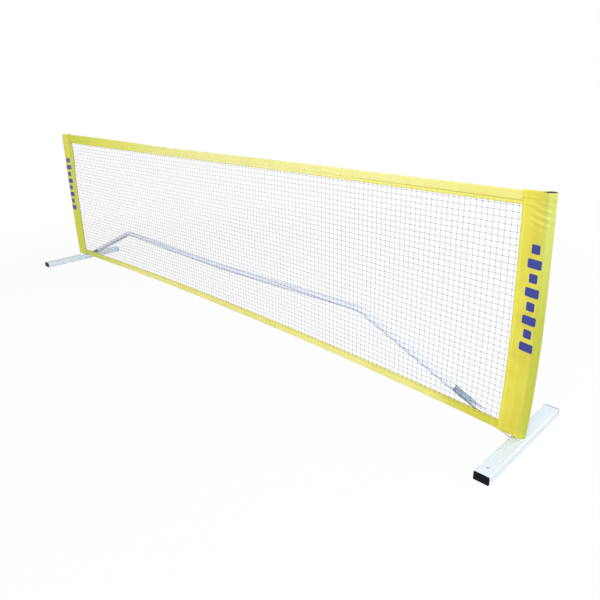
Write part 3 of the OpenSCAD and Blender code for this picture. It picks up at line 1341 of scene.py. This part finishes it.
@dataclass(frozen=True)
class Tints:
    """Tones of one sleeve: beside its pole, its pocket below (partly painted shade) and above (a painted
    highlight), its bound edges, and its shade.
    """

    band: Colour
    pocket: Colour
    # The upper pocket's tone, a painted highlight.
    pocket_highlight: Colour
    binding: Colour
    shade: Colour = srgb(220, 206, 70)


@dataclass(frozen=True)
class Folds:
    """Slanting folds of a sleeve below its top, where the top tape pulls.

    They are highest at_round from the front layer's inner edge and at_down below the top, and fade over a
    reach each way. Each crest falls by slant along the way round, and level_at sets where the crests lie.
    Their unevenness changes quicken times as fast round the sleeve as the cloth's own.
    """

    at_round: float = 58 * MM
    at_down: float = 66 * MM
    reach_round: float = 34 * MM
    reach_down: float = 36 * MM
    spacing: float = 20 * MM
    slant: float = 0.3
    level_at: float = 50 * MM
    uneven: float = 0.9
    quicken: float = 5
    hollow: float = -0.2

    def height(self, round_: np.ndarray, down: np.ndarray, wave: np.ndarray) -> np.ndarray:
        """Gives how high the folds stand, as shares of their full height.

        Args:
            round_: Distances round the sleeve.
            down: Depths below its top.
            wave: Unevenness there.

        Returns:
            The shares, a little below 0 in the hollows between folds.
        """
        near = bell(round_, self.at_round, self.reach_round) * bell(down, self.at_down, self.reach_down)
        along = down - self.slant * (round_ - self.level_at)
        return near * np.clip(np.sin(along * 2 * math.pi / self.spacing + self.uneven * wave), self.hollow, 1)


@dataclass
class Sleeve:
    """Cloth sleeve at one end of the net: a pocket round the pole and two layers sewn to the netting.

    Seams run at seam_in inside the hems' edges. Within tape_reach of its ends the layers stand tape_room
    further apart, and the open edges, closed elsewhere to lip, lie on the tape.
    """

    plan: NetPlan
    side: Side
    stitching: Stitching
    hang: Hang
    tints: Tints
    printed: Print
    folds: Folds = Folds()
    seam_x: float = 36 * MM
    loose: float = 0.35 * MM
    lip: float = 0.6 * MM
    lip_run: float = 4 * MM
    tape_reach: float = 55 * MM
    tape_run: float = 15 * MM
    tape_room: float = 0.65 * MM
    hem: float = 12 * MM
    top_hems: tuple[float, float] = (22 * MM, 41 * MM)
    bottom_hem: float = 14 * MM
    hem_raised: float = 0.45 * MM
    hem_run: float = 1.2 * MM
    seam_in: float = 1.5 * MM
    seam_depth: float = 0.35 * MM
    seam_reach: float = 1.3 * MM
    slack: float = 0.5 * MM
    crinkle: float = 0.09 * MM
    pole_reach: float = 35 * MM
    pole_share: float = 0.3
    pocket_w: float = 62 * MM
    # Where the pocket's painted highlight comes in, as heights over the lower edge.
    pocket_highlight_run: tuple[float, float] = (0.3, 0.68)
    step: tuple[float, float] = (2 * MM, 3.5 * MM)
    samples: tuple[int, int] = (161, 241)
    arc_points: int = 73

    def __post_init__(self) -> None:
        """Draws the sleeve's sections and its unevenness."""
        self.name = "sleeve_" + self.side.word
        self.pole = "pole_" + self.side.word
        low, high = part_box(self.name)
        pole_low, pole_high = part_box(self.pole)
        self.pole_x = abs(pole_low.x + pole_high.x) / 2
        self.base_z, self.length = low.z, high.z - low.z
        self.radius = (pole_high.x - pole_low.x) / 2 + self.loose + self.plan.cloth / 2
        self.width = self.section(self.base_z)[1]
        heights = np.linspace(0, self.length, self.samples[0])
        self.rows = np.array([self.section(self.base_z + v)[0] for v in heights])
        along = np.pad(self.rows, ((0, 0), (2, 2), (0, 0)), mode="edge")
        run = along[:, 4:] - along[:, :-4]
        run /= np.maximum(np.linalg.norm(run, axis=2, keepdims=True), 1e-9)
        self.normals = np.stack([run[:, :, 1], -run[:, :, 0]], axis=2)
        self.sway = Ripples(40 + self.side.value, longest=0.5, shortest=0.05)
        self.fine = Ripples(50 + self.side.value, longest=0.09, shortest=0.025, count=9)

    def section(self, z: float) -> tuple[np.ndarray, float]:
        """Draws the sleeve's outline at a height, from its front layer's inner edge round the pole and back.

        Args:
            z: The height.

        Returns:
            Evenly spaced x, y with x outwards from the pole's axis, and the outline's length.
        """
        share = float(self.plan.bow_share(np.array(z)))
        bow = share * (self.plan.bow_right if self.side is Side.RIGHT else self.plan.bow_left)
        down, up = self.base_z + self.length - z, z - self.base_z
        flare = self.hang.flare * float(bell(down, self.hang.flare_down, self.hang.flare_reach))
        at_tape = max(float(ramp(-d, -self.tape_reach, self.tape_run)) for d in (down, up))
        gap = self.plan.layer + at_tape * self.tape_room
        inner = self.plan.half - self.pole_x + bow - flare - self.hang.wider
        crease = bow - self.seam_x
        plane = float(self.plan.plane(np.array(self.side.value * self.plan.half), np.array(z)))
        front, back = Vector((crease, plane - gap)), Vector((crease, plane + gap))
        start, end = self.touch(front, self.radius, 1), self.touch(back, self.radius, -1)
        arc = np.linspace(start, end + 2 * math.pi if end < start else end, self.arc_points)
        ring = np.stack([self.radius * np.cos(arc), self.radius * np.sin(arc)], axis=1)
        ring[:, 0] += np.where(np.cos(arc) > 0, self.hang.outer * share, 0)
        lip = self.lip + at_tape * (gap - self.lip)
        opening = [(inner, plane - lip), (inner + self.lip_run, front.y), tuple(front)]
        closing = [tuple(back), (inner + self.lip_run, back.y), (inner, plane + lip)]
        points = np.vstack([opening, ring, closing])
        run = np.concatenate([[0], np.cumsum(np.linalg.norm(np.diff(points, axis=0), axis=1))])
        places = np.linspace(0, run[-1], self.samples[1])
        return np.stack([np.interp(places, run, points[:, axis]) for axis in (0, 1)], axis=1), float(run[-1])

    @staticmethod
    def touch(point: Vector, radius: float, way: int) -> float:
        """Gives the angle at which the tangent from a point touches the pole's circle."""
        return math.atan2(point.y, point.x) + way * math.acos(radius / point.length)

    def between(self, table: np.ndarray, u: np.ndarray, v: np.ndarray) -> np.ndarray:
        """Reads a table of the sections, and between its entries.

        Args:
            table: Its rows follow v and its columns u.
            u: Distance round the sleeve, from the front layer's inner edge.
            v: Height over the sleeve's lower edge.

        Returns:
            The table's values there.
        """
        row = np.clip(v / self.length, 0, 1) * (self.samples[0] - 1)
        col = np.clip(u / self.width, 0, 1) * (self.samples[1] - 1)
        i = np.minimum(row.astype(int), self.samples[0] - 2)
        j = np.minimum(col.astype(int), self.samples[1] - 2)
        a, b = (row - i)[:, None], (col - j)[:, None]
        low = table[i, j] * (1 - b) + table[i, j + 1] * b
        high = table[i + 1, j] * (1 - b) + table[i + 1, j + 1] * b
        return low * (1 - a) + high * a

    def finish(self) -> Cloth:
        """Gives the sleeve's cloth, greener round the pole, partly as painted shade, paler up the pocket as a
        painted highlight, and brighter along its hems.

        Returns:
            The cloth.
        """
        tints, half = self.tints, self.width / 2
        pocket, binding = {"share": 0.95, "soft": 18 * MM}, {"share": 0.6, "soft": 3 * MM}
        front_in, back_in = self.hem - self.seam_in, self.width - self.hem + self.seam_in
        return Cloth(
            self.name + "_dressed",
            tints.band,
            tints.shade,
            bands=(
                # Round the pole the lower pocket is greener and darker: the tone of a single layer over the
                # pole, with painted shade where it curves away from the light.
                Band.about(Axis.U, half, self.pocket_w, tints.pocket, **pocket),
                # Painted highlight: the pocket pales higher up.
                Band.about(Axis.U, half, self.pocket_w, tints.pocket_highlight, **pocket, grows=self.pocket_highlight_run),
                Band(Axis.U, -BEYOND, front_in, tints.binding, **binding),
                Band(Axis.U, back_in, self.width + BEYOND, tints.binding, **binding),
                Band.about(Axis.V, self.bottom_hem, 3.2 * MM, tints.shade, share=0.6, soft=1.6 * MM),
                *(
                    Band.about(Axis.V, self.length - drop, 2.4 * MM, tints.shade, share=0.7, soft=1.6 * MM)
                    for drop in self.top_hems
                ),
            ),
            coat=0.4,
            printed=self.printed,
        )

    def puckers(self, u: np.ndarray, v: np.ndarray) -> np.ndarray:
        """Gives how far the cloth stands out in folds, slack and crinkles, less so on the pole.

        Args:
            u: Distance round the sleeve, from the front layer's inner edge.
            v: Height over the sleeve's lower edge.

        Returns:
            Distances outwards, in metres, never below 0.
        """
        wave = self.sway.at(u * self.folds.quicken, v)
        folds = self.folds.height(u, self.length - v, wave) * self.hang.pucker
        slack = (1 + self.sway.at(u, v)) / 2 * self.slack
        crinkles = (1 + self.fine.at(u, v)) * self.crinkle
        on_pole = bell(u, self.width / 2, self.pole_reach)
        return np.maximum(folds + slack + crinkles, 0) * (1 - self.pole_share * on_pole)

    def hem_steps(self, u: np.ndarray, v: np.ndarray) -> np.ndarray:
        """Gives the extra thickness of the turned hems and the dips of their seams.

        Args:
            u: Distance round the sleeve, from the front layer's inner edge.
            v: Height over the sleeve's lower edge.

        Returns:
            Distances outwards, in metres.
        """
        from_side, from_top = np.minimum(u, self.width - u), self.length - v
        hems = [(from_side, self.hem), (v, self.bottom_hem), (from_top, self.top_hems[0])]
        seams = [(distance, width - self.seam_in) for distance, width in hems]
        seams.append((from_top, self.top_hems[1]))
        turned = [np.clip((width - distance) / self.hem_run + 0.5, 0, 1) for distance, width in hems]
        dips = [bell(distance, place, self.seam_reach) for distance, place in seams]
        return np.maximum.reduce(turned) * self.hem_raised - np.maximum.reduce(dips) * self.seam_depth

    def surface(self, u: np.ndarray, v: np.ndarray) -> np.ndarray:
        """Gives the place in space of places u, v of the flat cloth.

        Args:
            u: Distance round the sleeve, from the front layer's inner edge.
            v: Height over the sleeve's lower edge.

        Returns:
            Rows of x, y, z.
        """
        hang = self.hang
        place = self.between(self.rows, u, v)
        place += self.between(self.normals, u, v) * (self.puckers(u, v) + self.hem_steps(u, v))[:, None]
        x, y = place[:, 0], place[:, 1]
        z = self.base_z + hang.lift + v
        on_band = ramp(-x, 0.5 * self.seam_x, self.seam_x)
        stretched = hang.raised_on_pole + (1 - hang.raised_on_pole) * on_band
        z += hang.raised * np.clip(v / self.length, 0, 1) ** hang.raised_power * stretched
        outwards = np.clip(0.5 + 0.5 * x / self.radius, 0, 1)
        z -= hang.droop * outwards**2 * np.exp((v - self.length) / hang.droop_reach)
        z += hang.rounding * np.clip(x / self.radius, 0, 1) ** 3 * np.exp(-v / hang.rounding_reach)
        return np.stack([self.side.value * (x + self.pole_x), y, z], axis=1)

    def stitch_rows(self, face: float) -> list[bmesh.types.BMesh]:
        """Builds the rows of stitches along the hems.

        Args:
            face: Height of the cloth's face over its middle surface.

        Returns:
            The rows, in flat coordinates.
        """
        row, inset = self.stitching.row, self.stitching.inset
        sides = (self.hem - self.seam_in, self.width - self.hem + self.seam_in)
        upper, lower = (self.length - drop for drop in self.top_hems)
        heights = (self.bottom_hem - self.seam_in, upper + self.seam_in, lower)
        rows = [row((u, inset), (u, self.length - inset), face) for u in sides]
        return rows + [row((inset, v), (self.width - inset, v), face) for v in heights]

    def build(self) -> None:
        """Builds the sleeve and its stitches."""
        turned = self.side is Side.LEFT
        cloth = cut_cloth(self.name + "_cloth", self.width, self.length, self.step, turned)
        lay(cloth, self.surface)
        thicken(cloth, self.plan.cloth)
        mount(cloth, "net", Slot.SLEEVE, self.finish().material(), [self.name])
        rows = self.stitch_rows(self.plan.cloth / 2 * (-1 if turned else 1))
        threads = self.stitching.sew(self.name + "_stitches", rows, self.surface, Slot.SLEEVE)


@dataclass
class TapedNet:
    """The netting with its tapes and sleeves.

    Tones along a tape change over stretches that are given as distances from its left end.
    """

    plan: NetPlan = field(default_factory=NetPlan)
    stitching: Stitching = Stitching(
        BraidedTwine("tape_thread_dressed", srgb(176, 168, 70), srgb(206, 198, 96))
    )
    # The seams' tone: the sewn line, with painted shade of its groove and of the knots beside it.
    seam_shade_tone: Colour = srgb(176, 160, 60)
    seam_width: float = 2.8 * MM
    top_seam: float = 11 * MM
    bottom_seam: float = 7 * MM
    edge_w: float = 10 * MM
    # Where the top tape's lower hem strips and seams come in, clear of its painted sheen.
    hem_tone_run: tuple[float, float] = (1.9, 2.6)

    def top_cloth(self) -> Cloth:
        """Gives the top tape's cloth: a painted sheen, painted shade greener to the left and along its fold,
        and deeper hem strips and seams to the right.

        Returns:
            The cloth.
        """
        flat_h = self.plan.flat_height(self.plan.top_tape_h)
        # Painted shade: a darker line along the fold at the tape's top.
        crease = srgb(206, 200, 160)
        # Towards the right end the lower hem strips keep a deeper yellow below the painted sheen, and the
        # seams show darker.
        edge = {"colour": srgb(246, 240, 92), "share": 0.7, "soft": 3 * MM, "grows": self.hem_tone_run}
        seam = {"colour": self.seam_shade_tone, "share": 0.7, "soft": 2.5 * MM, "grows": self.hem_tone_run}
        return Cloth(
            "top_tape_dressed",
            # Painted sheen: pale tones, as if veiled by the glossy coat's reflection.
            srgb(249, 245, 160),
            srgb(243, 239, 148),
            bands=(
                Band(Axis.V, -BEYOND, self.edge_w, **edge),
                Band(Axis.V, flat_h - self.edge_w, flat_h + BEYOND, **edge),
                Band.about(Axis.V, flat_h / 2, 3 * MM, crease, share=0.5, soft=1.5 * MM),
                # Painted shade: greener and darker towards the left end, where less light falls.
                Band(Axis.U, -1, 0.8, srgb(228, 230, 26), share=0.9, soft=1.2),
                Band(Axis.U, -1, 0.1, srgb(204, 208, 8), share=0.95, soft=0.7),
                # Less of the painted sheen at the right end.
                Band(Axis.U, 2.6, 3, srgb(238, 230, 118), share=0.7, soft=0.4),
                Band.about(Axis.V, self.top_seam, self.seam_width, **seam),
                Band.about(Axis.V, flat_h - self.top_seam, self.seam_width, **seam),
            ),
            roughness=0.37,
            cords=Cords(flat_h, reach=6 * MM, share=0.35),
        )

    def bottom_cloth(self) -> Cloth:
        """Gives the bottom tape's cloth, pale with a painted sheen, greener at both ends (at the left as
        painted shade), most along the front's upper right edge.

        Returns:
            The cloth.
        """
        upper_right = srgb(188, 186, 54)
        return Cloth(
            "bottom_tape_dressed",
            # Pale tones with a painted sheen, as on the top tape.
            srgb(250, 245, 152),
            srgb(242, 236, 132),
            bands=(
                Band.about(
                    Axis.V, self.bottom_seam, self.seam_width, self.seam_shade_tone, share=0.4, soft=2.5 * MM
                ),
                Band(Axis.V, -BEYOND, 15 * MM, upper_right, share=0.7, soft=6 * MM, grows=(2.6, 2.68)),
                # Painted shade: greener and darker at the left end.
                Band(Axis.U, -1, 0.3, srgb(196, 206, 74), share=0.9, soft=0.6),
                Band(Axis.U, 2.64, 3, srgb(214, 208, 60), share=0.9, soft=0.26),
            ),
            cords=Cords(self.plan.flat_height(self.plan.bottom_tape_h), reach=12 * MM),
        )

    def build_tapes(self, netting: Netting) -> None:
        """Builds the two tapes.

        Args:
            netting: The netting that they hold.
        """
        plan, sewn = self.plan, self.stitching
        FoldedTape(
            plan, netting, Edge.TOP, plan.top_tape_h, self.top_seam, self.top_cloth(), sewn
        ).build()
        FoldedTape(
            plan,
            netting,
            Edge.BOTTOM,
            plan.bottom_tape_h,
            self.bottom_seam,
            self.bottom_cloth(),
            sewn,
            ripple=0.9 * MM,
            wander=1.6 * MM,
        ).build()

    def build_sleeves(self) -> None:
        """Builds the two sleeves, the left one hitched up and pulled wide by the tape."""
        Sleeve(
            self.plan,
            Side.LEFT,
            self.stitching,
            Hang(
                outer=8 * MM,
                lift=14 * MM,
                wider=6 * MM,
                flare=9 * MM,
                raised=2.5 * MM,
                droop=13 * MM,
                pucker=0.6 * MM,
            ),
            # Painted shade: the left sleeve's tones are the right's, darker and greener, for the lesser light
            # at that end.
            Tints(srgb(206, 218, 14), srgb(198, 216, 14), srgb(202, 216, 14), srgb(212, 224, 20)),
            Print(centre=61 * MM),
        ).build()
        Sleeve(
            self.plan,
            Side.RIGHT,
            self.stitching,
            Hang(outer=10 * MM, wider=2.5 * MM, raised=2.5 * MM, rounding=1.5 * MM),
            Tints(srgb(232, 225, 80), srgb(186, 194, 62), srgb(208, 218, 106), srgb(240, 234, 82)),
            Print(centre=49.5 * MM),
        ).build()

    def build(self) -> None:
        """Builds every piece of the net."""
        netting = Netting(self.plan)
        netting.build()
        self.build_tapes(netting)
        self.build_sleeves()


# ---------------------------------------------------------------- the rigid frame


@dataclass
class FrameDress:
    """Finishes of the solids that carry the net."""

    feet: PowderCoat = PowderCoat("foot_paint_dressed", srgb(232, 243, 255), srgb(216, 229, 244))
    tubes: PowderCoat = PowderCoat("tube_paint_dressed", srgb(232, 238, 247), srgb(215, 224, 237))
    steel: DrawnSteel = DrawnSteel()
    plastic: MouldedPlastic = MouldedPlastic()
    rivets: RivetMetal = RivetMetal()

    def dress(self) -> None:
        """Gives each solid that shows its finish."""
        finishes = {
            Slot.FOOT: self.feet.material(),
            Slot.TUBE: self.tubes.material(),
            Slot.STEEL: self.steel.material(),
            Slot.PLASTIC: self.plastic.material(),
            Slot.RIVET: self.rivets.material(),
        }
        slots = {s["node"]: s["material_slot"] for s in frame["record"]["subparts"]}
        for name, node in frame["nodes"].items():
            slot = Slot(slots[name])
            if slot in finishes:
                node.data.materials.clear()
                node.data.materials.append(finishes[slot])
                log.info("%s: dressed as %s", name, slot.value)


# ---------------------------------------------------------------- stage


@dataclass(frozen=True)
class Lamp:
    """A soft square lamp aimed at a point."""

    name: str
    place: tuple[float, float, float]
    aim: tuple[float, float, float]
    size: float
    power: float

    def build(self) -> None:
        """Adds the lamp."""
        data = bpy.data.lights.new(self.name, "AREA")
        data.size, data.energy = self.size, self.power
        lamp = bpy.data.objects.new(self.name, data)
        lamp.location = self.place
        lamp.rotation_euler = (Vector(self.aim) - Vector(self.place)).to_track_quat("-Z", "Y").to_euler()
        bpy.context.scene.collection.objects.link(lamp)


@dataclass
class Studio:
    """Camera, floor, white surroundings and lamps.

    To the camera the floor glows by floor_glow near the net, and fully where the fade ends.
    """

    eye: tuple[float, float, float] = (2.0643, -1.5181, 1.0737)
    yaw: float = -45.33
    pitch: float = -19.52
    roll: float = -1.209
    lens: float = 33.93
    shift: tuple[float, float] = (0.0030, -0.0296)
    sensor: float = 36.0
    floor_size: float = 60.0
    floor_glow: float = 0.93
    fade: tuple[float, float] = (1.5, 2.9)
    floor_tones: tuple[Colour, Colour] = ((0.93, 0.935, 0.95, 1), (0.95, 0.95, 0.955, 1))
    floor_bounce: Colour = (0.16, 0.16, 0.165, 1)
    surroundings: float = 0.3
    lamps: tuple[Lamp, ...] = (
        Lamp("key_lamp", (3.2, -5.0, 1.9), aim=(0.2, 0, 0.4), size=3.6, power=230.0),
        Lamp("fill_lamp", (-3.2, -4.6, 1.2), aim=(-0.4, 0, 0.4), size=3.0, power=80.0),
        Lamp("side_lamp", (10.0, -1.4, 2.4), aim=(0.0, 0, 0.3), size=3.5, power=185.0),
        Lamp("top_lamp", (1.8, 0.3, 3.0), aim=(1.3, 0, 0), size=2.0, power=34.0),
        Lamp("back_lamp", (4.4, 4.2, 1.7), aim=(0, 0, 0.4), size=3.4, power=125.0),
    )

    def place_camera(self) -> None:
        """Adds the camera."""
        yaw, pitch, roll = (math.radians(a) for a in (self.yaw, self.pitch, self.roll))
        ahead = Vector((math.sin(yaw) * math.cos(pitch), math.cos(yaw) * math.cos(pitch), math.sin(pitch)))
        level = Vector((math.cos(yaw), -math.sin(yaw), 0))
        upright = level.cross(ahead)
        right = level * math.cos(roll) + upright * math.sin(roll)
        up = upright * math.cos(roll) - level * math.sin(roll)
        data = bpy.data.cameras.new("camera")
        data.sensor_width, data.lens = self.sensor, self.lens
        data.shift_x, data.shift_y = self.shift
        camera = bpy.data.objects.new("camera", data)
        turn = Matrix((right, up, -ahead)).transposed().to_4x4()
        camera.matrix_world = Matrix.Translation(self.eye) @ turn
        bpy.context.scene.collection.objects.link(camera)
        bpy.context.scene.camera = camera

    @staticmethod
    def seen(nodes: bpy.types.Nodes, links: bpy.types.NodeLinks) -> bpy.types.NodeSocket:
        """Gives 1 for what the camera, a mirror or glass sees, and 0 for light on its way to a surface.

        Args:
            nodes: A tree's nodes.
            links: The tree's links.

        Returns:
            The mask.
        """
        path = nodes.new("ShaderNodeLightPath")
        total = path.outputs["Is Camera Ray"]
        for other in ("Is Glossy Ray", "Is Transmission Ray"):
            node = nodes.new("ShaderNodeMath")
            node.operation = "MAXIMUM"
            links.new(total, node.inputs[0])
            links.new(path.outputs[other], node.inputs[1])
            total = node.outputs[0]
        return total

    def lay_floor(self) -> None:
        """Adds the pale floor, which keeps a soft part of the shadows."""
        mesh = bmesh.new()
        bmesh.ops.create_grid(mesh, x_segments=1, y_segments=1, size=self.floor_size / 2)
        floor = new_piece("floor", mesh, smooth=False)
        t = NodeTree("floor_white")
        seen = self.seen(t.tree.nodes, t.tree.links)
        speck = t.noise(t.object_place(), scale=3.0, detail=2.0)
        pale = t.mix(speck, *self.floor_tones)
        plain = t.add("BsdfDiffuse", Color=t.mix(seen, self.floor_bounce, pale))
        glow = t.add("Emission", Color=(1, 1, 1, 1), Strength=1.0)
        reach = t.add("VectorMath", {"operation": "LENGTH"}, Vector=t.object_place()).outputs["Value"]
        fade = t.math("MULTIPLY_ADD", t.ease(reach, *self.fade), 1 - self.floor_glow, self.floor_glow)
        both = t.add("MixShader", Fac=t.times(seen, fade))
        t.feed(both.inputs[1], plain.outputs[0])
        t.feed(both.inputs[2], glow.outputs[0])
        t.feed(t.output.inputs["Surface"], both.outputs[0])
        floor.data.materials.append(t.material)

    def light(self) -> None:
        """Adds the white surroundings and the lamps."""
        world = bpy.data.worlds.new("surroundings")
        bpy.context.scene.world = world
        world.use_nodes = True
        nodes, links = world.node_tree.nodes, world.node_tree.links
        back = nodes["Background"]
        level = nodes.new("ShaderNodeMapRange")
        level.inputs["To Min"].default_value = self.surroundings
        level.inputs["To Max"].default_value = 1.0
        links.new(self.seen(nodes, links), level.inputs["Value"])
        links.new(level.outputs[0], back.inputs["Strength"])
        back.inputs["Color"].default_value = (1, 1, 1, 1)
        for lamp in self.lamps:
            lamp.build()
        bpy.context.scene.view_settings.view_transform = "Standard"

    def build(self) -> None:
        """Builds the stage."""
        self.place_camera()
        self.lay_floor()
        self.light()


def main() -> None:
    """Builds the stage, the frame's finishes and the net."""
    Studio().build()
    FrameDress().dress()
    TapedNet().build()


if __name__ == "__main__":
    main()
